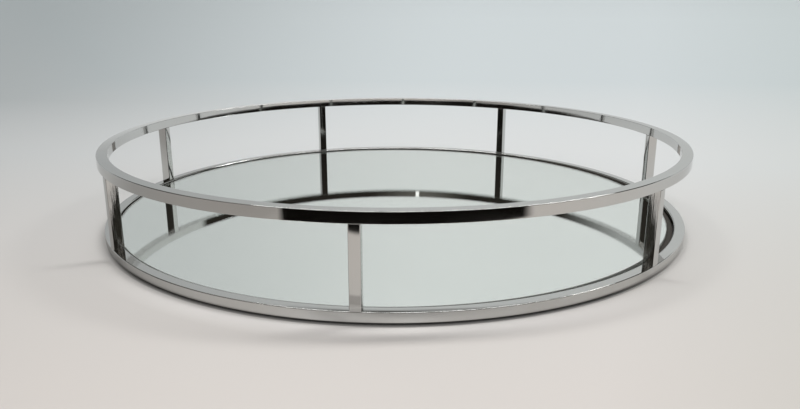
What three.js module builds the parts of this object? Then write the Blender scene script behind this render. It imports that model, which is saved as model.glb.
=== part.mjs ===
// Round gallery tray: two hoops of small bar joined by upright posts, with a mirror in the lower hoop.
// Millimetres, +Z up. The tray stands on Z = 0, centred on the Z axis, and its first post is at -Y.
import * as THREE from "three";

// Welded frame
const outerDiameter = 356;
const overallHeight = 50;
const barWidth = 6; // of hoops and posts, towards the centre
const barHeight = 5.5; // of each hoop
const postWidth = 5.5; // along the hoops
const barEdgeRadius = 0.25;
const postCount = 7;
const strayPost = 5; // the one post that was welded off its even place
const strayPostTurn = 1.1; // degrees towards the next post

// Tabs inside the lower hoop, one under each post, with a felt foot below and a dab of silicone on top
const tabThickness = 0.8;
const tabWidth = 14;
const tabReach = 15;
const tabCornerRadius = 3; // at the free end
const weldGap = 0.3; // between a tab's corners and the hoop's inner wall
const footThickness = 0.5;
const footDiameter = 10;
const dabThickness = 0.3;
const dabDiameter = 9;

// Floor: a backing board, strips of tape and the mirror
const boardThickness = 1.8;
const boardClearance = 0.5;
const tapeThickness = 0.3;
const tapeWidth = 25;
const tapeInset = 25; // from the mirror's edge to the ends of the strips
const tapeCount = 3;
const mirrorThickness = 2;
const mirrorLeastGap = 0.2; // to the hoop, on the side that the mirror lies nearer to
const mirrorShift = 3.2; // off centre
const mirrorShiftTurn = 22; // degrees from -Y towards -X, the way that it is off centre
const mirrorArris = 0.3; // chamfer round the mirror's cut edge

// Radii and heights that follow
const outerRadius = outerDiameter / 2;
const innerRadius = outerRadius - barWidth;
const baseBottom = footThickness;
const baseTop = baseBottom + barHeight;
const railBottom = overallHeight - barHeight;
const tabTop = footThickness + tabThickness;
const boardBottom = tabTop + dabThickness;
const boardTop = boardBottom + boardThickness;
const mirrorBottom = boardTop + tapeThickness;
const mirrorTop = mirrorBottom + mirrorThickness;
const mirrorRadius = innerRadius - mirrorLeastGap - mirrorShift;
const tabOuterEdge = Math.sqrt((innerRadius - weldGap) ** 2 - (tabWidth / 2) ** 2);
const tabInnerEdge = tabOuterEdge - tabReach;
const tabMiddle = (tabOuterEdge + tabInnerEdge) / 2;

// Facets: hoops have the same number between any two posts
const roundSegments = 16 * postCount;
const cornerDivisions = 1;
const smallRoundSegments = 24;

function chrome() {
  return new THREE.MeshStandardMaterial({ color: 0xc9c8c5, roughness: 0.08, metalness: 1 });
}

function hardboard() {
  return new THREE.MeshStandardMaterial({ color: 0x3c3731, roughness: 0.85, metalness: 0 });
}

function silveredGlass() {
  return new THREE.MeshStandardMaterial({ color: 0xcbd1cd, roughness: 0.02, metalness: 1 });
}

function blackFelt() {
  return new THREE.MeshStandardMaterial({ color: 0x232222, roughness: 1, metalness: 0 });
}

function clearSilicone() {
  return new THREE.MeshStandardMaterial({ color: 0xd8d8d2, roughness: 0.4, metalness: 0 });
}

function whiteTape() {
  return new THREE.MeshStandardMaterial({ color: 0xe8e6e0, roughness: 0.7, metalness: 0 });
}

function addPiece(parent, name, geometry, material) {
  const mesh = new THREE.Mesh(geometry, material);
  mesh.name = name;
  parent.add(mesh);
  return mesh;
}

// A rectangle with rounded corners, drawn counter-clockwise.
function roundedRectangle(left, bottom, right, top, radius) {
  const shape = new THREE.Shape();
  shape.absarc(right - radius, bottom + radius, radius, -Math.PI / 2, 0);
  shape.absarc(right - radius, top - radius, radius, 0, Math.PI / 2);
  shape.absarc(left + radius, top - radius, radius, Math.PI / 2, Math.PI);
  shape.absarc(left + radius, bottom + radius, radius, Math.PI, 1.5 * Math.PI);
  shape.closePath();
  return shape;
}

// A tab seen from above: square where it is welded to the hoop, with rounded corners at its free end.
function tabOutline() {
  const side = tabWidth / 2;
  const cornerX = side - tabCornerRadius;
  const cornerY = -tabInnerEdge - tabCornerRadius;
  const shape = new THREE.Shape();
  shape.moveTo(-side, -tabOuterEdge);
  shape.lineTo(side, -tabOuterEdge);
  shape.absarc(cornerX, cornerY, tabCornerRadius, 0, Math.PI / 2);
  shape.absarc(-cornerX, cornerY, tabCornerRadius, Math.PI / 2, Math.PI);
  shape.closePath();
  return shape;
}

// A flat plate of the given outline, from one height to another.
function plate(outline, bottom, top) {
  const geometry = new THREE.ExtrudeGeometry(outline, {
    depth: top - bottom,
    bevelEnabled: false,
    curveSegments: cornerDivisions,
  });
  return geometry.translate(0, 0, bottom);
}

// A profile of radius and height, turned about the Z axis.
function turned(profile, segments) {
  return new THREE.LatheGeometry(profile, segments).rotateX(Math.PI / 2);
}

// A round disc on the Z axis.
function disc(radius, bottom, top, segments) {
  const profile = [
    new THREE.Vector2(0, bottom),
    new THREE.Vector2(radius, bottom),
    new THREE.Vector2(radius, top),
    new THREE.Vector2(0, top),
  ];
  return turned(profile, segments);
}

// A hoop of bar, as wide as the posts are deep.
function hoop(bottom, top) {
  const section = roundedRectangle(innerRadius, bottom, outerRadius, top, barEdgeRadius);
  return turned(section.getPoints(cornerDivisions), roundSegments);
}

// The mirror is a disc whose two cut edges are ground to a small chamfer.
function mirrorDisc() {
  const profile = [
    new THREE.Vector2(0, mirrorBottom),
    new THREE.Vector2(mirrorRadius - mirrorArris, mirrorBottom),
    new THREE.Vector2(mirrorRadius, mirrorBottom + mirrorArris),
    new THREE.Vector2(mirrorRadius, mirrorTop - mirrorArris),
    new THREE.Vector2(mirrorRadius - mirrorArris, mirrorTop),
    new THREE.Vector2(0, mirrorTop),
  ];
  return turned(profile, roundSegments);
}

// A strip of tape across the mirror, as long as the mirror's chord there allows.
function tapeStrip(across) {
  const reach = mirrorRadius - tapeInset;
  const farSide = Math.abs(across) + tapeWidth / 2;
  const halfLength = Math.sqrt(reach ** 2 - farSide ** 2);
  const strip = new THREE.BoxGeometry(2 * halfLength, tapeWidth, tapeThickness);
  return strip.translate(0, across, boardTop + tapeThickness / 2);
}

const tray = new THREE.Group();

addPiece(tray, "base_ring", hoop(baseBottom, baseTop), chrome());
addPiece(tray, "top_rail", hoop(railBottom, overallHeight), chrome());

// Each station has its post and, inside the lower hoop, its tab, felt foot and dab.
// It is made at -Y and turned into place.
const halfPost = postWidth / 2;
const postSection = roundedRectangle(-halfPost, -outerRadius, halfPost, -innerRadius, barEdgeRadius);
for (let index = 0; index < postCount; index += 1) {
  const number = index + 1;
  const station = new THREE.Group();
  station.rotation.z = (index * 2 * Math.PI) / postCount;
  const post = addPiece(station, `post_${number}`, plate(postSection, baseTop, railBottom), chrome());
  if (number === strayPost) {
    post.rotation.z = THREE.MathUtils.degToRad(strayPostTurn);
  }
  addPiece(station, `support_tab_${number}`, plate(tabOutline(), footThickness, tabTop), chrome());
  const foot = disc(footDiameter / 2, 0, footThickness, smallRoundSegments);
  addPiece(station, `felt_foot_${number}`, foot.translate(0, -tabMiddle, 0), blackFelt());
  const dab = disc(dabDiameter / 2, tabTop, boardBottom, smallRoundSegments);
  addPiece(station, `adhesive_dab_${number}`, dab.translate(0, -tabMiddle, 0), clearSilicone());
  tray.add(station);
}

const board = disc(innerRadius - boardClearance, boardBottom, boardTop, roundSegments);
addPiece(tray, "backing_board", board, hardboard());

// The tape and the mirror are stuck to the board a little off centre.
const floor = new THREE.Group();
const shiftAngle = THREE.MathUtils.degToRad(mirrorShiftTurn);
floor.position.set(-mirrorShift * Math.sin(shiftAngle), -mirrorShift * Math.cos(shiftAngle), 0);
const tapeSpacing = (2 * (mirrorRadius - tapeInset)) / (tapeCount + 1);
for (let index = 0; index < tapeCount; index += 1) {
  const across = (index - (tapeCount - 1) / 2) * tapeSpacing;
  addPiece(floor, `mirror_tape_${index + 1}`, tapeStrip(across), whiteTape());
}
addPiece(floor, "mirror", mirrorDisc(), silveredGlass());
tray.add(floor);

export default tray;
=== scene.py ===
import bpy
import numpy as np
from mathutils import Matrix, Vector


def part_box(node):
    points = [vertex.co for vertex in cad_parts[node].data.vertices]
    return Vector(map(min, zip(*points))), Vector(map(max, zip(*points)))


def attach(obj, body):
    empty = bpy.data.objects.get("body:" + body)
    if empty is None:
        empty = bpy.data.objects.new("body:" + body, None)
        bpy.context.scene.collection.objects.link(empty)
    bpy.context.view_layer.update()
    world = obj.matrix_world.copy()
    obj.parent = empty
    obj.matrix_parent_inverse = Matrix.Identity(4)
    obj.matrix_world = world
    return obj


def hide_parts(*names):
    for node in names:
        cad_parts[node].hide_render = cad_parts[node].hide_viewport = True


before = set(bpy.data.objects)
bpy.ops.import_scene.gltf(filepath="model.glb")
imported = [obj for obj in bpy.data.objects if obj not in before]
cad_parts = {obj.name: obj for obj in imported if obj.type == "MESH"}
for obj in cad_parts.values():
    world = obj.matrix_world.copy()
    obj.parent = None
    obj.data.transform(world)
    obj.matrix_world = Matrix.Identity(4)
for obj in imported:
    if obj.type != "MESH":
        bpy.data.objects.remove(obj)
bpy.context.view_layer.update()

# Base ring: the lower hoop, a small near-square steel bar bent to a circle and butt-welded.
# It is polished and chrome plated as one with the posts and the rail that are welded to it.
MM = 0.001
ring_low, ring_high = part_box("base_ring")
post_low, post_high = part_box("post_1")
ring_radius = ring_high.x
bar_depth = post_high.y - post_low.y
bar_middle = ring_radius - bar_depth / 2
bar_edge = 0.2 * MM
outer_edge = 0.4 * MM  # the upper outer corner of each hoop, which polishing wears most
ring_edge = 0.8 * MM  # the ring's corners next to the mirror and next to the table
hoop_bow = 0.004
hoop_steps = 840
corner_steps = 6


def linear(colour):
    """Linear RGBA of an sRGB hex colour: each channel over 255, then the sRGB curve undone."""
    srgb = np.array([int(colour[i:i + 2], 16) for i in (1, 3, 5)]) / 255
    rgb = np.where(srgb <= 0.04045, srgb / 12.92, ((srgb + 0.055) / 1.055) ** 2.4)
    return (*rgb.tolist(), 1.0)


def feed(node, inputs):
    """Sets a node's inputs: sockets are linked, nodes by their first live output, and values are put in."""
    for name, value in inputs.items():
        if isinstance(value, bpy.types.Node):
            value = next(socket for socket in value.outputs if socket.enabled)
        if isinstance(value, bpy.types.NodeSocket):
            node.id_data.links.new(value, node.inputs[name])
        else:
            node.inputs[name].default_value = value


def add_node(tree, kind, inputs, **settings):
    """Adds a node with its settings and inputs. On a Mix node, inputs 6 and 7 are the two colours."""
    node = tree.nodes.new(kind)
    for name, value in settings.items():
        setattr(node, name, value)
    feed(node, inputs)
    return node


def new_finish(name):
    """A new material. Gives it, its node tree and its surface shader."""
    finish = bpy.data.materials.new(name)
    finish.use_nodes = True
    return finish, finish.node_tree, finish.node_tree.nodes["Principled BSDF"]


def rounded_rectangle(low, high, radii, steps):
    """Outline of a rectangle, counter-clockwise: a quarter circle of its own radius at each corner, from the
    upper right one on, and the straight sides between them. Gives the points and their outward normals."""
    turn = np.radians(90 * np.arange(4)[:, None] + np.linspace(0, 90, steps + 1))
    round_normals = np.stack([np.cos(turn), np.sin(turn)], -1)
    signs = np.array([(1, 1), (-1, 1), (-1, -1), (1, -1)])[:, None]
    corners = np.where(signs > 0, high, low)
    rounds = corners + np.reshape(radii, (4, 1, 1)) * (round_normals - signs)
    share = np.linspace(0, 1, steps + 1)[1:-1, None]
    sides = rounds[:, -1:] + share * (np.roll(rounds[:, :1], -1, 0) - rounds[:, -1:])
    side_normals = np.broadcast_to(round_normals[:, -1:], sides.shape)
    points = np.concatenate([rounds, sides], 1).reshape(-1, 2)
    return points, np.concatenate([round_normals, side_normals], 1).reshape(-1, 2)


def bar_section(width, depth, radii, bow):
    """Cross-section of a bar: a rounded rectangle whose sides polishing has bowed out. Each coordinate
    shrinks by the bow times the square of how far out the other one is, so the corners come in; normals
    follow by the cofactors of that change. Gives points and outward normals."""
    half = np.array([width, depth]) / 2
    points, normals = rounded_rectangle(-half, half, radii, corner_steps)
    share = (points / half) ** 2
    pull = 1 - bow * share[:, ::-1]
    skew = 2 * bow * points.prod(1, keepdims=True) / half ** 2
    return points * pull, normals * pull[:, ::-1] + normals[:, ::-1] * skew


def grid_piece(name, points, normals, along, around, closed):
    """A piece from a grid of surface points, one row for each step along it and one column for each step
    round it. Columns join round. Rows join too where it is closed; otherwise a flat cap closes each end.
    Normals are the surface's own, and the UV map holds metres along and metres round."""
    rows, columns = points.shape[:2]
    i, j = np.meshgrid(np.arange(rows if closed else rows - 1), np.arange(columns), indexing="ij")
    corner_i = np.stack([i, i + 1, i + 1, i], -1).reshape(-1, 4)
    corner_j = np.stack([j, j, j + 1, j + 1], -1).reshape(-1, 4)
    quads = (corner_i % rows) * columns + corner_j % columns
    points, normals = points.reshape(-1, 3), normals.reshape(-1, 3)
    faces, corners = quads.tolist(), quads.ravel()
    uv = np.stack([along[corner_i], around[corner_j]], -1).reshape(-1, 2)
    if not closed:
        first = np.arange(columns)
        last = (np.arange(columns) + (rows - 1) * columns)[::-1]
        faces += [first.tolist(), last.tolist()]
        corners = np.concatenate([corners, first, last])
        uv = np.vstack([uv, points[first, :2], points[last, :2]])
    mesh = bpy.data.meshes.new(name)
    mesh.from_pydata(points, [], faces)
    mesh.uv_layers.new(name="metres").data.foreach_set("uv", uv.ravel())
    mesh.shade_smooth()
    mesh.normals_split_custom_set(normals[corners] / np.linalg.norm(normals[corners], axis=1, keepdims=True))
    piece = bpy.data.objects.new(name, mesh)
    bpy.context.scene.collection.objects.link(piece)
    return piece


def walked(points):
    """Way walked round a closed outline, up to each point and at last back to the first."""
    gaps = np.linalg.norm(np.roll(points, -1, 0) - points, axis=1)
    return np.concatenate([[0], np.cumsum(gaps)])


def hoop(name, low, high, radii):
    """A bar section carried round a circle about Z, its width along the radius and its depth along Z.
    The point at angle t is ((radius + across) sin t, -(radius + across) cos t, middle + up)."""
    section, facing = bar_section(bar_depth, high - low, radii, hoop_bow)
    t = np.linspace(0, 2 * np.pi, hoop_steps + 1)
    out = np.stack([np.sin(t), -np.cos(t), 0 * t], -1)[:-1, None]
    up = np.array([0, 0, 1])
    points = out * (bar_middle + section[:, :1]) + up * ((low + high) / 2 + section[:, 1:])
    normals = out * facing[:, :1] + up * facing[:, 1:]
    return grid_piece(name, points, normals, t * bar_middle, walked(section), closed=True)


def chrome_plate(name, line_width, line_length, line_height, sides_only=False):
    """Bright chrome plate over polished steel: a grey mirror, faintly hazed by handling, in which straight
    things look a little bent, because polishing left it wavy along the bar. The lines that drawing left show
    through the plate, or only on the sides that face along the hoop. They are drawn wider than they are, so
    that they show."""
    haze_size = 30 * MM
    wave_length = 40 * MM
    wave_width = 5 * MM
    wave_height = 0.02 * MM
    finish, tree, shader = new_finish(name)
    place = add_node(tree, "ShaderNodeTexCoord", {})
    haze = add_node(tree, "ShaderNodeTexNoise", {
        "Vector": place.outputs["Object"], "Scale": 1 / haze_size, "Detail": 4.0})
    rough = add_node(tree, "ShaderNodeMapRange", {
        "Value": haze, "From Min": 0.3, "From Max": 0.7, "To Min": 0.03, "To Max": 0.07})
    tone = add_node(tree, "ShaderNodeMix", {
        "Factor": haze, 6: linear("#c6c5c2"), 7: linear("#cfd0cf")}, data_type="RGBA")
    stretch = add_node(tree, "ShaderNodeMapping", {
        "Vector": place.outputs["UV"], "Scale": (1 / wave_length, 1 / wave_width, 1)})
    waves = add_node(tree, "ShaderNodeTexNoise", {"Vector": stretch, "Scale": 1.0, "Detail": 1.0})
    wavy = add_node(tree, "ShaderNodeBump", {"Height": waves, "Strength": 1.0, "Distance": wave_height})
    stretch = add_node(tree, "ShaderNodeMapping", {
        "Vector": place.outputs["UV"], "Scale": (1 / line_length, 1 / line_width, 1)})
    lines = add_node(tree, "ShaderNodeTexNoise", {
        "Vector": stretch, "Scale": 1.0, "Detail": 2.0, "Roughness": 0.6})
    relief = add_node(tree, "ShaderNodeBump", {
        "Height": lines, "Strength": 1.0, "Distance": line_height, "Normal": wavy})
    if sides_only:
        flat = add_node(tree, "ShaderNodeVectorMath", {
            0: place.outputs["Object"], 1: (1, 1, 0)}, operation="MULTIPLY")
        outwards = add_node(tree, "ShaderNodeVectorMath", {0: flat}, operation="NORMALIZE")
        facing = add_node(tree, "ShaderNodeVectorMath", {
            0: outwards, 1: place.outputs["Normal"]}, operation="DOT_PRODUCT")
        facing = add_node(tree, "ShaderNodeMath", {0: facing}, operation="ABSOLUTE")
        side = add_node(tree, "ShaderNodeMapRange", {
            "Value": facing, "From Min": 0.6, "From Max": 0.3, "To Min": 0.02})
        feed(relief, {"Strength": side})
    feed(shader, {
        "Base Color": tone, "Metallic": 1.0, "Roughness": rough, "Normal": relief,
        "Specular Tint": linear("#ececec")})
    return finish


hoop_chrome = chrome_plate("bright_chrome_hoop", 1.0 * MM, 60 * MM, 0.001 * MM)
base_ring = hoop("base_ring_bar", ring_low.z, ring_high.z, [outer_edge, ring_edge, bar_edge, ring_edge])
base_ring.data.materials.append(hoop_chrome)
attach(base_ring, "root")
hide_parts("base_ring")

# Posts: upright lengths of the same bar, cut square and welded between the hoops, flush inside and out,
# then plated with them. They are set by hand, so one stands aside and some are turned a little, and they
# keep more of the lines that drawing leaves.
post_width = post_high.x - post_low.x
post_count = sum(name.startswith("post_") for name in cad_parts)
post_bow = 0.035
post_edge = 0.4 * MM
post_end = 0.15 * MM
post_twists = np.radians([0, 2.7, 0, 0, 0, 0, 3])
rim_steps = 4
post_chrome = chrome_plate("bright_chrome_post", 0.7 * MM, 40 * MM, 0.055 * MM, sides_only=True)


def at_station(turn, points):
    """Points given as (along the hoop, outwards), turned about Z from -Y by an angle."""
    return points @ np.array([(np.cos(turn), np.sin(turn)), (np.sin(turn), -np.cos(turn))])


def slab(name, outline, facing, low, high, rim):
    """An outline carried straight up, its two rims rounded: as t goes through a right angle at each, the
    outline moves in by rim (1 - cos t) and up by rim sin t. It runs clockwise from above, and flat caps
    close it."""
    lower, upper = np.linspace(-90, 0, rim_steps + 1), np.linspace(0, 90, rim_steps + 1)
    t = np.radians(np.concatenate([lower, upper]))[:, None, None]
    middle = np.repeat([low + rim, high - rim], rim_steps + 1)[:, None, None]
    out = np.pad(facing, ((0, 0), (0, 1)))
    up = np.array([0, 0, 1])
    outline_3d = np.pad(outline, ((0, 0), (0, 1)))
    points = outline_3d - out * rim * (1 - np.cos(t)) + up * (middle + rim * np.sin(t))
    normals = out * np.cos(t) + up * np.sin(t)
    along = np.append(0, np.cumsum(np.linalg.norm(np.diff(points[:, 0], axis=0), axis=1)))
    return grid_piece(name, points, normals, along, walked(outline), closed=False)


section, section_facing = bar_section(post_width, bar_depth, [post_edge] * 4, post_bow)
for index in range(post_count):
    node = f"post_{index + 1}"
    low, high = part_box(node)
    turn = np.arctan2(low.x + high.x, -low.y - high.y)
    outline = at_station(turn + post_twists[index], section) + at_station(turn, np.array([0, bar_middle]))
    facing = at_station(turn + post_twists[index], section_facing)
    piece = slab(f"{node}_bar", outline, facing, post_low.z, post_high.z, post_end)
    piece.data.materials.append(post_chrome)
    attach(piece, "root")
    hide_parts(node)

# Top rail: the upper hoop, of the same bar and size as the base ring.
# It is bent and butt-welded like the ring, welded on the posts and plated with them.
rail_low, rail_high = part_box("top_rail")
top_rail = hoop("top_rail_bar", rail_low.z, rail_high.z, [outer_edge, bar_edge, bar_edge, bar_edge])
top_rail.data.materials.append(hoop_chrome)
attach(top_rail, "root")
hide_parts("top_rail")

# Support tabs: thin pressed steel tongues welded inside the ring under the posts, level with its underside.
# They are plated with the frame, but not polished.
tab_low, tab_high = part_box("support_tab_1")
tab_edge = 0.2 * MM
tab_root_radius = 0.4 * MM
tab_end_radius = 3 * MM
tab_chrome = chrome_plate("dull_chrome_tab", 0.8 * MM, 12 * MM, 0.006 * MM)
tab_outline, tab_facing = rounded_rectangle(
    np.array([tab_low.x, -tab_high.y]), np.array([tab_high.x, -tab_low.y]),
    [tab_root_radius, tab_root_radius, tab_end_radius, tab_end_radius], corner_steps)
for index in range(post_count):
    node = f"support_tab_{index + 1}"
    turn = index * 2 * np.pi / post_count
    piece = slab(f"{node}_tongue", at_station(turn, tab_outline), at_station(turn, tab_facing),
                 tab_low.z, tab_high.z, tab_edge)
    piece.data.materials.append(tab_chrome)
    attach(piece, "root")
    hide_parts(node)

# Felt feet: small discs punched from black wool felt, with a soft uneven rim.
# Each is stuck under a tab, so that the tray does not scratch the table.
foot_low, foot_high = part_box("felt_foot_1")
foot_radius = (foot_high.x - foot_low.x) / 2
foot_rim = 0.25 * MM
foot_steps = 96
fray_share = 0.012
fray_waves = (11, 17)

# Wool felt is matt, with a faint bloom of loose fibres at a slant. They are drawn coarser than they are.
fibre_size = 0.5 * MM
fibre_height = 0.15 * MM
black_felt, tree, shader = new_finish("black_wool_felt")
place = add_node(tree, "ShaderNodeTexCoord", {})
fibres = add_node(tree, "ShaderNodeTexNoise", {
    "Vector": place.outputs["Object"], "Scale": 1 / fibre_size, "Detail": 6.0, "Distortion": 1.5})
tone = add_node(tree, "ShaderNodeMix", {
    "Factor": fibres, 6: linear("#161616"), 7: linear("#343232")}, data_type="RGBA")
relief = add_node(tree, "ShaderNodeBump", {"Height": fibres, "Strength": 1.0, "Distance": fibre_height})
feed(shader, {"Base Color": tone, "Roughness": 1.0, "Normal": relief, "Sheen Weight": 0.3})


def round_outline(middle, radius, steps):
    """Outline of a circle, clockwise from above. Gives the points and their outward normals."""
    t = np.linspace(0, 2 * np.pi, steps + 1)[:-1]
    facing = np.stack([np.cos(t), -np.sin(t)], -1)
    return np.array(middle) + radius * facing, facing


# The rim comes in by a small share of the radius, which the product of two sines of the angle varies.
outline, facing = round_outline((0, 0), foot_radius, foot_steps)
t = np.linspace(0, 2 * np.pi, foot_steps + 1)[:-1, None]
for index in range(post_count):
    node = f"felt_foot_{index + 1}"
    turn = index * 2 * np.pi / post_count
    middle = at_station(turn, np.array([0, -(foot_low.y + foot_high.y) / 2]))
    fray = 1 - fray_share * (1 + np.sin(fray_waves[0] * t + index) * np.sin(fray_waves[1] * t + 2 * index))
    piece = slab(f"{node}_disc", middle + outline * fray, facing, foot_low.z, foot_high.z, foot_rim)
    piece.data.materials.append(black_felt)
    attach(piece, "root")
    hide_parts(node)

# Adhesive dabs: clear silicone, put on the tabs wet and squeezed flat by the board that it holds down.
# It cures to a cloudy rubber that lets some light through, with a soft shine.
cloud_size = 3 * MM
silicone, tree, shader = new_finish("clear_silicone")
place = add_node(tree, "ShaderNodeTexCoord", {})
cloud = add_node(tree, "ShaderNodeTexNoise", {"Vector": place.outputs["Object"], "Scale": 1 / cloud_size})
tone = add_node(tree, "ShaderNodeMix", {
    "Factor": cloud, 6: linear("#cfcfc8"), 7: linear("#e2e2dd")}, data_type="RGBA")
feed(shader, {"Base Color": tone, "Roughness": 0.35, "Transmission Weight": 0.6})
for index in range(post_count):
    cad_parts[f"adhesive_dab_{index + 1}"].material_slots[0].material = silicone

# Backing board: a thin disc sawn from dark brown hardboard, held down on the tabs by the silicone.
# It is seen only in the gap round the mirror and from below.
board_low, board_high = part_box("backing_board")
board_radius = (board_high.x - board_low.x) / 2
board_rim = 0.2 * MM
disc_steps = 420

# Hardboard is wood fibre pressed hot: nearly matt, and mottled by its fibres.
# They are drawn coarser than they are.
fibre_size = 1.2 * MM
fibre_height = 0.05 * MM
hardboard, tree, shader = new_finish("dark_hardboard")
place = add_node(tree, "ShaderNodeTexCoord", {})
fibres = add_node(tree, "ShaderNodeTexNoise", {
    "Vector": place.outputs["Object"], "Scale": 1 / fibre_size, "Detail": 5.0, "Roughness": 0.65,
    "Distortion": 0.8})
tone = add_node(tree, "ShaderNodeMix", {
    "Factor": fibres, 6: linear("#312d28"), 7: linear("#474139")}, data_type="RGBA")
relief = add_node(tree, "ShaderNodeBump", {"Height": fibres, "Strength": 0.5, "Distance": fibre_height})
feed(shader, {"Base Color": tone, "Roughness": 0.75, "Normal": relief})
board = slab("backing_board_disc", *round_outline((0, 0), board_radius, disc_steps),
             board_low.z, board_high.z, board_rim)
board.data.materials.append(hardboard)
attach(board, "root")
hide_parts("backing_board")

# Mirror tape: strips of white double-sided foam tape that stick the mirror to the board.
# Foam is matt, and its pores give it a fine speckle.
pore_size = 0.8 * MM
tape, tree, shader = new_finish("white_foam_tape")
place = add_node(tree, "ShaderNodeTexCoord", {})
pores = add_node(tree, "ShaderNodeTexNoise", {
    "Vector": place.outputs["Object"], "Scale": 1 / pore_size, "Detail": 3.0})
tone = add_node(tree, "ShaderNodeMix", {
    "Factor": pores, 6: linear("#d9d7d1"), 7: linear("#efede8")}, data_type="RGBA")
feed(shader, {"Base Color": tone, "Roughness": 0.8})
for name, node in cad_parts.items():
    if name.startswith("mirror_tape_"):
        node.material_slots[0].material = tape

# Mirror: a disc of silvered float glass with a ground edge, stuck down a little off centre.
# Light goes through the glass to the silver on its back, so the rim shows as a thin dark line.
mirror_low, mirror_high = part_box("mirror")
mirror_middle = (mirror_low + mirror_high) / 2
mirror_radius = (mirror_high.x - mirror_low.x) / 2
mirror_edge = 0.3 * MM
silver_clear = 0.02 * MM  # between the silver and the tape

# The glass is clear, and only just less so where hands have smeared it.
smear_size = 60 * MM
float_glass, tree, shader = new_finish("clear_float_glass")
place = add_node(tree, "ShaderNodeTexCoord", {})
smear = add_node(tree, "ShaderNodeTexNoise", {
    "Vector": place.outputs["Object"], "Scale": 1 / smear_size, "Detail": 3.0})
rough = add_node(tree, "ShaderNodeMapRange", {
    "Value": smear, "From Min": 0.5, "From Max": 0.75, "To Min": 0.0, "To Max": 0.015})
feed(shader, {
    "Base Color": linear("#f8faf9"), "Roughness": rough, "Transmission Weight": 1.0, "IOR": 1.52})

# The silver is a perfect mirror with a faint green cast, a shade uneven from its bath.
bath_size = 90 * MM
silvering, tree, shader = new_finish("silvered_back")
place = add_node(tree, "ShaderNodeTexCoord", {})
cloud = add_node(tree, "ShaderNodeTexNoise", {
    "Vector": place.outputs["Object"], "Scale": 1 / bath_size, "Detail": 2.0})
tone = add_node(tree, "ShaderNodeMix", {
    "Factor": cloud, 6: linear("#eef1ee"), 7: linear("#f5f7f5")}, data_type="RGBA")
feed(shader, {"Base Color": tone, "Metallic": 1.0, "Roughness": 0.0})

# The ground edge is frosted and lets half of the light in. Its grit marks are drawn coarser than they are.
grit_size = 1.5 * MM
ground_glass, tree, shader = new_finish("ground_glass_edge")
place = add_node(tree, "ShaderNodeTexCoord", {})
grain = add_node(tree, "ShaderNodeTexNoise", {
    "Vector": place.outputs["Object"], "Scale": 1 / grit_size, "Detail": 3.0})
tone = add_node(tree, "ShaderNodeMix", {
    "Factor": grain, 6: linear("#b4b8b2"), 7: linear("#c8cbc5")}, data_type="RGBA")
feed(shader, {"Base Color": tone, "Roughness": 0.5, "Transmission Weight": 0.5, "IOR": 1.52})

mirror = slab("mirror_disc", *round_outline(mirror_middle[:2], mirror_radius, disc_steps),
              mirror_low.z + silver_clear, mirror_high.z, mirror_edge)
mirror.data.materials.append(ground_glass)
mirror.data.materials.append(silvering)
mirror.data.materials.append(float_glass)
mirror.data.polygons[-2].material_index = 1  # the cap below
mirror.data.polygons[-1].material_index = 2  # the cap on top
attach(mirror, "root")
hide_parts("mirror")

# Floor: a plain pale sheet, warm near the tray and cooler far behind, with painted shade that makes it
# duller to the sides. Its far rim turns up. To what mirrors it, it is a table with painted light and painted
# shade, and past its ends it is painted black, a painted shade that stands for an unlit room.
floor_reach = 12.0  # metres, as all lengths here that have no MM
floor_flat = 6.0
floor_rise = 1.2
floor_hub = 0.05
floor_columns = 96
floor_rise_rows = 13


def floor_surface(radii, steps):
    """A round floor: the point at radius r and angle t lies at (r cos t, r sin t), and rises with the square
    of how far r is past the flat part."""
    t = np.linspace(0, 2 * np.pi, steps, endpoint=False)
    past = np.clip((radii - floor_flat) / (floor_reach - floor_flat), 0, 1)
    r, z = radii[:, None], floor_rise * past[:, None] ** 2
    return np.stack([r * np.cos(t), r * np.sin(t), z + 0 * t], -1)


floor_rows = np.append(floor_hub, np.linspace(floor_flat, floor_reach, floor_rise_rows))
points = floor_surface(floor_rows, floor_columns)
i, j = np.meshgrid(np.arange(len(floor_rows) - 1), np.arange(floor_columns), indexing="ij")
corner_i = np.stack([i, i + 1, i + 1, i], -1).reshape(-1, 4)
corner_j = np.stack([j, j, j + 1, j + 1], -1).reshape(-1, 4) % floor_columns
quads = corner_i * floor_columns + corner_j
floor_mesh = bpy.data.meshes.new("floor")
floor_mesh.from_pydata(points.reshape(-1, 3), [], quads.tolist() + [list(range(floor_columns))])
floor_mesh.shade_smooth()
floor = bpy.data.objects.new("floor", floor_mesh)
bpy.context.scene.collection.objects.link(floor)
pale, tree, shader = new_finish("pale_floor")
place = add_node(tree, "ShaderNodeTexCoord", {})
parts = add_node(tree, "ShaderNodeSeparateXYZ", {"Vector": place.outputs["Object"]})
sideways, backwards = parts.outputs["X"], parts.outputs["Y"]
reach = add_node(tree, "ShaderNodeVectorMath", {0: place.outputs["Object"]}, operation="LENGTH")
path = add_node(tree, "ShaderNodeLightPath", {})
mirrored = add_node(tree, "ShaderNodeMath", {
    0: path.outputs["Is Glossy Ray"], 1: path.outputs["Is Transmission Ray"]}, operation="MAXIMUM")

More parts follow.
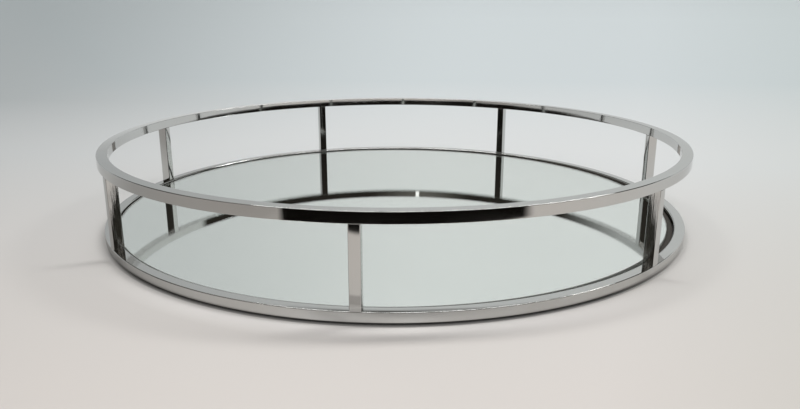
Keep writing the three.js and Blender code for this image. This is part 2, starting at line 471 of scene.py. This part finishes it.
# Tones from front to back. Past 0.6 m to a side they spread out like a fan.
spread = add_node(tree, "ShaderNodeMath", {0: sideways}, operation="ABSOLUTE")
spread = add_node(tree, "ShaderNodeMath", {0: spread, 1: 2.0, 2: -0.2}, operation="MULTIPLY_ADD")
spread = add_node(tree, "ShaderNodeMath", {0: spread, 1: 1.0}, operation="MAXIMUM")
back = add_node(tree, "ShaderNodeMath", {0: backwards, 1: spread}, operation="DIVIDE")
middle = add_node(tree, "ShaderNodeMapRange", {"Value": back, "From Min": -0.25, "From Max": 0.15})
tone = add_node(tree, "ShaderNodeMix", {
    "Factor": middle, 6: linear("#dfd9d3"), 7: linear("#dee0df")}, data_type="RGBA")
far = add_node(tree, "ShaderNodeMapRange", {"Value": back, "From Min": 0.2, "From Max": 0.8})
tone = add_node(tree, "ShaderNodeMix", {"Factor": far, 6: tone, 7: linear("#d1d8d9")}, data_type="RGBA")

# Painted shade on the sides, by the slant seen from 0.6 m before the tray's middle: the sheet is painted
# duller there, as if less light fell on it. The left one is dullest, far behind; the right one is not in
# what is mirrored.
depth = add_node(tree, "ShaderNodeMath", {0: backwards, 1: 0.6}, operation="ADD")
depth = add_node(tree, "ShaderNodeMath", {0: depth, 1: 0.1}, operation="MAXIMUM")
slant = add_node(tree, "ShaderNodeMath", {0: sideways, 1: depth}, operation="DIVIDE")
beyond = add_node(tree, "ShaderNodeMapRange", {"Value": back, "From Min": -0.5, "From Max": -0.3})
slant = add_node(tree, "ShaderNodeMath", {0: slant, 1: beyond}, operation="MULTIPLY")
left = add_node(tree, "ShaderNodeMapRange", {
    "Value": slant, "From Min": 0.05, "From Max": -0.65}, interpolation_type="SMOOTHSTEP")
weight = add_node(tree, "ShaderNodeMapRange", {
    "Value": back, "From Min": -0.25, "From Max": 0.5, "To Min": 0.35, "To Max": 1.0})
weight = add_node(tree, "ShaderNodeMath", {0: weight, 1: beyond}, operation="MULTIPLY")
shade = add_node(tree, "ShaderNodeMath", {0: left, 1: weight}, operation="MULTIPLY")
tone = add_node(tree, "ShaderNodeMix", {
    "Factor": shade, 6: tone, 7: linear("#c8c9c9")}, data_type="RGBA", blend_type="MULTIPLY")
right = add_node(tree, "ShaderNodeMapRange", {"Value": slant, "From Min": 0.25, "From Max": 0.5})
right = add_node(tree, "ShaderNodeMath", {0: right, 1: beyond}, operation="MULTIPLY")
right = add_node(tree, "ShaderNodeMath", {0: right, 1: mirrored}, operation="SUBTRACT", use_clamp=True)
tone = add_node(tree, "ShaderNodeMix", {
    "Factor": right, 6: tone, 7: linear("#f1f3f1")}, data_type="RGBA", blend_type="MULTIPLY")

# Mirrored, it is painted lighter close before the first post, a painted light that the chrome shows.
# Otherwise it is painted lighter close before the ring, a painted light that stands for what chrome throws
# back on it.
light_side = 9 * MM
close = add_node(tree, "ShaderNodeMapRange", {
    "Value": reach, "From Min": ring_radius + 22 * MM, "From Max": ring_radius + 10 * MM})
aside = add_node(tree, "ShaderNodeMath", {0: sideways, 1: light_side}, operation="SUBTRACT")
aside = add_node(tree, "ShaderNodeMath", {0: aside}, operation="ABSOLUTE")
amid = add_node(tree, "ShaderNodeMapRange", {"Value": aside, "From Min": 75 * MM, "From Max": 20 * MM})
close = add_node(tree, "ShaderNodeMath", {0: close, 1: amid}, operation="MULTIPLY")
close = add_node(tree, "ShaderNodeMath", {0: close, 1: mirrored}, operation="MULTIPLY")
tone = add_node(tree, "ShaderNodeMix", {"Factor": close, 6: tone, 7: linear("#efece8")}, data_type="RGBA")
thrown = add_node(tree, "ShaderNodeMapRange", {
    "Value": reach, "From Min": ring_radius + 16 * MM, "From Max": ring_radius + 6 * MM, "To Max": 0.38})
ahead = add_node(tree, "ShaderNodeMapRange", {"Value": backwards, "From Min": -0.13, "From Max": -0.17})
thrown = add_node(tree, "ShaderNodeMath", {0: thrown, 1: ahead}, operation="MULTIPLY")
thrown = add_node(tree, "ShaderNodeMath", {0: thrown, 1: mirrored}, operation="SUBTRACT", use_clamp=True)
tone = add_node(tree, "ShaderNodeMix", {"Factor": thrown, 6: tone, 7: linear("#fffcf9")}, data_type="RGBA")

# Mirrored, the table ends before the tray in a curve, Y = -0.301 + 0.0166 X + 1.39 X X, and at each side in
# a straight line, square to the way given. Past all three it is painted black, a painted shade for an unlit
# room.
left_way = (0.822, -0.57, 0)
right_way = (-0.626, -0.78, 0)
curve = add_node(tree, "ShaderNodeMath", {0: sideways, 1: 1.39, 2: 0.0166}, operation="MULTIPLY_ADD")
curve = add_node(tree, "ShaderNodeMath", {0: sideways, 1: curve, 2: -0.301}, operation="MULTIPLY_ADD")
past = add_node(tree, "ShaderNodeMath", {0: curve, 1: backwards}, operation="SUBTRACT")
black = add_node(tree, "ShaderNodeMapRange", {"Value": past, "From Min": -4 * MM, "From Max": 4 * MM})
past = add_node(tree, "ShaderNodeVectorMath", {
    0: place.outputs["Object"], 1: left_way}, operation="DOT_PRODUCT")
left_end = add_node(tree, "ShaderNodeMapRange", {"Value": past, "From Min": 67 * MM, "From Max": 79 * MM})
black = add_node(tree, "ShaderNodeMath", {0: black, 1: left_end}, operation="MULTIPLY")
past = add_node(tree, "ShaderNodeVectorMath", {
    0: place.outputs["Object"], 1: right_way}, operation="DOT_PRODUCT")
right_end = add_node(tree, "ShaderNodeMapRange", {
    "Value": past, "From Min": 67 * MM, "From Max": 89 * MM}, interpolation_type="SMOOTHSTEP")
black = add_node(tree, "ShaderNodeMath", {0: black, 1: right_end}, operation="MULTIPLY")

# Mirrored, it also has painted shade before the tray's left side, a painted shadow close under the ring, and
# a painted shadow of the rail in a band past the painted light before the first post.
dull = add_node(tree, "ShaderNodeMapRange", {
    "Value": sideways, "From Min": -70 * MM, "From Max": -140 * MM, "To Max": 0.3})
front = add_node(tree, "ShaderNodeMapRange", {"Value": backwards, "From Min": 0.0, "From Max": -0.1})
dull = add_node(tree, "ShaderNodeMath", {0: dull, 1: front}, operation="MULTIPLY")
black = add_node(tree, "ShaderNodeMath", {0: black, 1: dull}, operation="MAXIMUM")
under = add_node(tree, "ShaderNodeMapRange", {
    "Value": reach, "From Min": ring_radius + 3.5 * MM, "From Max": ring_radius + 1.5 * MM, "To Max": 0.85})
front = add_node(tree, "ShaderNodeMapRange", {"Value": backwards, "From Min": -0.09, "From Max": -0.14})
under = add_node(tree, "ShaderNodeMath", {0: under, 1: front}, operation="MULTIPLY")
black = add_node(tree, "ShaderNodeMath", {0: black, 1: under}, operation="MAXIMUM")
near_side = add_node(tree, "ShaderNodeMapRange", {
    "Value": reach, "From Min": ring_radius + 17.5 * MM, "From Max": ring_radius + 21.5 * MM,
    "To Max": 0.35})
far_side = add_node(tree, "ShaderNodeMapRange", {
    "Value": reach, "From Min": ring_radius + 32.5 * MM, "From Max": ring_radius + 29.5 * MM})
rail_shadow_band = add_node(tree, "ShaderNodeMath", {0: near_side, 1: far_side}, operation="MULTIPLY")
rail_shadow_band = add_node(tree, "ShaderNodeMath", {0: rail_shadow_band, 1: amid}, operation="MULTIPLY")
black = add_node(tree, "ShaderNodeMath", {0: black, 1: rail_shadow_band}, operation="MAXIMUM")
black = add_node(tree, "ShaderNodeMath", {0: black, 1: mirrored}, operation="MULTIPLY")

# A painted contact shadow: a thin dark line where the ring all but touches the sheet.
contact_shadow = add_node(tree, "ShaderNodeMapRange", {
    "Value": reach, "From Min": ring_radius + 1.5 * MM, "From Max": ring_radius + 0.5 * MM, "To Max": 0.5})
contact_shadow = add_node(tree, "ShaderNodeMath", {0: contact_shadow, 1: front}, operation="MULTIPLY")
black = add_node(tree, "ShaderNodeMath", {0: black, 1: contact_shadow}, operation="MAXIMUM")
# All this painted shade darkens the sheet's tone towards near black.
tone = add_node(tree, "ShaderNodeMix", {"Factor": black, 6: tone, 7: linear("#100e0c")}, data_type="RGBA")
feed(shader, {"Base Color": tone, "Roughness": 0.9, "Specular IOR Level": 0.0})
floor_mesh.materials.append(pale)

# Surround: a pale studio. To what mirrors it, it is a pale backdrop of some height behind the tray, in a
# dark room with a pale ceiling, and with a faint light and a small lamp in front.
world = bpy.data.worlds.new("studio")
bpy.context.scene.world = world
world.use_nodes = True
tree = world.node_tree
place = add_node(tree, "ShaderNodeTexCoord", {})
parts = add_node(tree, "ShaderNodeSeparateXYZ", {"Vector": place.outputs["Generated"]})
sideways, backwards, upwards = parts.outputs["X"], parts.outputs["Y"], parts.outputs["Z"]
forwards = add_node(tree, "ShaderNodeMath", {0: backwards, 1: -1.0}, operation="MULTIPLY")
turn = add_node(tree, "ShaderNodeMath", {0: sideways, 1: forwards}, operation="ARCTAN2")

# The backdrop is duller to the left, and bright low down left of its middle.
left = add_node(tree, "ShaderNodeMapRange", {
    "Value": sideways, "From Min": 0.0, "From Max": -0.5}, interpolation_type="SMOOTHSTEP")
backdrop = add_node(tree, "ShaderNodeMix", {
    "Factor": left, 6: linear("#dfe2e1"), 7: linear("#c4c7c7")}, data_type="RGBA")
low = add_node(tree, "ShaderNodeMapRange", {"Value": upwards, "From Min": 0.19, "From Max": 0.13})
middle = add_node(tree, "ShaderNodeMapRange", {"Value": sideways, "From Min": 0.1, "From Max": -0.05})
low = add_node(tree, "ShaderNodeMath", {0: low, 1: middle}, operation="MULTIPLY")
backdrop = add_node(tree, "ShaderNodeMix", {
    "Factor": low, 6: backdrop, 7: linear("#f8faf9")}, data_type="RGBA")

# It reaches round to both sides, and its upper edge drops towards its ends. Heights are sines of elevations.
backdrop_top = 0.42
backdrop_end_top = 0.345
right_end = add_node(tree, "ShaderNodeMapRange", {
    "Value": turn, "From Min": np.radians(110), "From Max": np.radians(114)})
left_end = add_node(tree, "ShaderNodeMapRange", {
    "Value": turn, "From Min": np.radians(-85), "From Max": np.radians(-125)})
wide = add_node(tree, "ShaderNodeMath", {0: right_end, 1: left_end}, operation="ADD")
left_drop = add_node(tree, "ShaderNodeMapRange", {
    "Value": sideways, "From Min": -0.33, "From Max": -0.6,
    "To Min": backdrop_top, "To Max": backdrop_end_top})
right_drop = add_node(tree, "ShaderNodeMapRange", {
    "Value": sideways, "From Min": 0.0, "From Max": 1.0,
    "To Min": backdrop_top, "To Max": backdrop_end_top})
top = add_node(tree, "ShaderNodeMath", {0: left_drop, 1: right_drop}, operation="MINIMUM")
under = add_node(tree, "ShaderNodeMath", {0: top, 1: upwards}, operation="SUBTRACT")
under = add_node(tree, "ShaderNodeMapRange", {"Value": under, "From Min": -0.008, "From Max": 0.008})
shown = add_node(tree, "ShaderNodeMath", {0: wide, 1: under}, operation="MULTIPLY")

# The room is darkest low down. Higher up come the faint light, the ceiling and the small lamp.
glow_turn = -0.14
lamp_turn = -0.105
lamp_half_width = 0.015
lamp_height = 0.26
lamp_half_height = 0.02
rise = add_node(tree, "ShaderNodeMapRange", {"Value": upwards, "From Min": 0.13, "From Max": 0.28})
room = add_node(tree, "ShaderNodeMix", {
    "Factor": rise, 6: linear("#0d0b09"), 7: linear("#36332e")}, data_type="RGBA")
aside = add_node(tree, "ShaderNodeMath", {0: turn, 1: glow_turn}, operation="SUBTRACT")
aside = add_node(tree, "ShaderNodeMath", {0: aside}, operation="ABSOLUTE")
glow = add_node(tree, "ShaderNodeMapRange", {
    "Value": aside, "From Min": 0.5, "From Max": 0.0, "To Max": 0.55}, interpolation_type="SMOOTHSTEP")
glow = add_node(tree, "ShaderNodeMath", {0: glow, 1: rise}, operation="MULTIPLY")
room = add_node(tree, "ShaderNodeMix", {"Factor": glow, 6: room, 7: linear("#a3a09a")}, data_type="RGBA")
lift = add_node(tree, "ShaderNodeMapRange", {"Value": upwards, "From Min": 0.5, "From Max": 0.95})
room = add_node(tree, "ShaderNodeMix", {"Factor": lift, 6: room, 7: linear("#d6d6d3")}, data_type="RGBA")
across = add_node(tree, "ShaderNodeMath", {0: turn, 1: lamp_turn, 2: lamp_half_width}, operation="COMPARE")
level = add_node(tree, "ShaderNodeMath", {
    0: upwards, 1: lamp_height, 2: lamp_half_height}, operation="COMPARE")
spot = add_node(tree, "ShaderNodeMath", {0: across, 1: level}, operation="MULTIPLY")
room = add_node(tree, "ShaderNodeMix", {"Factor": spot, 6: room, 7: (2.0, 2.0, 2.0, 1.0)}, data_type="RGBA")
around = add_node(tree, "ShaderNodeMix", {"Factor": shown, 6: room, 7: backdrop}, data_type="RGBA")

# All that isn't mirrored gets the plain pale studio.
path = add_node(tree, "ShaderNodeLightPath", {})
mirrored = add_node(tree, "ShaderNodeMath", {
    0: path.outputs["Is Glossy Ray"], 1: path.outputs["Is Transmission Ray"]}, operation="MAXIMUM")
seen = add_node(tree, "ShaderNodeMix", {
    "Factor": mirrored, 6: linear("#c8c8c9"), 7: around}, data_type="RGBA")
feed(tree.nodes["Background"], {"Color": seen, "Strength": 1.0})

# Lamps: a row of soft lights high above, a little behind the tray and running off to the right.
# Their places are given as shares of their height.
lamp_count = 10
lamp_width = np.radians(8)
light_level = 1.5
for sideways in np.linspace(-0.45, 0.9, lamp_count):
    backwards = 0.335 + 0.165 * sideways
    lean = np.arctan(sideways)
    lamp = bpy.data.objects.new("soft_lamp", bpy.data.lights.new("soft_lamp", "SUN"))
    lamp.data.energy = light_level / lamp_count
    lamp.data.angle = lamp_width
    lamp.rotation_euler = (-np.arctan(backwards * np.cos(lean)), lean, 0)
    bpy.context.scene.collection.objects.link(lamp)

# Camera: at the photograph's place, a little above the rail and to the right of the first post.
# It looks down at the tray and a little to the left.
look_down = 15.88
look_left = 5.06
picture_width = 800
focal_pixels = 706.5
camera = bpy.data.objects.new("camera", bpy.data.cameras.new("camera"))
camera.location = np.array([42.6, -447.1, 130.1]) * MM
camera.rotation_euler = (np.radians(90 - look_down), 0, np.radians(look_left))
camera.data.lens = camera.data.sensor_width * focal_pixels / picture_width
bpy.context.scene.collection.objects.link(camera)
bpy.context.scene.camera = camera
bpy.context.scene.view_settings.view_transform = "Standard"
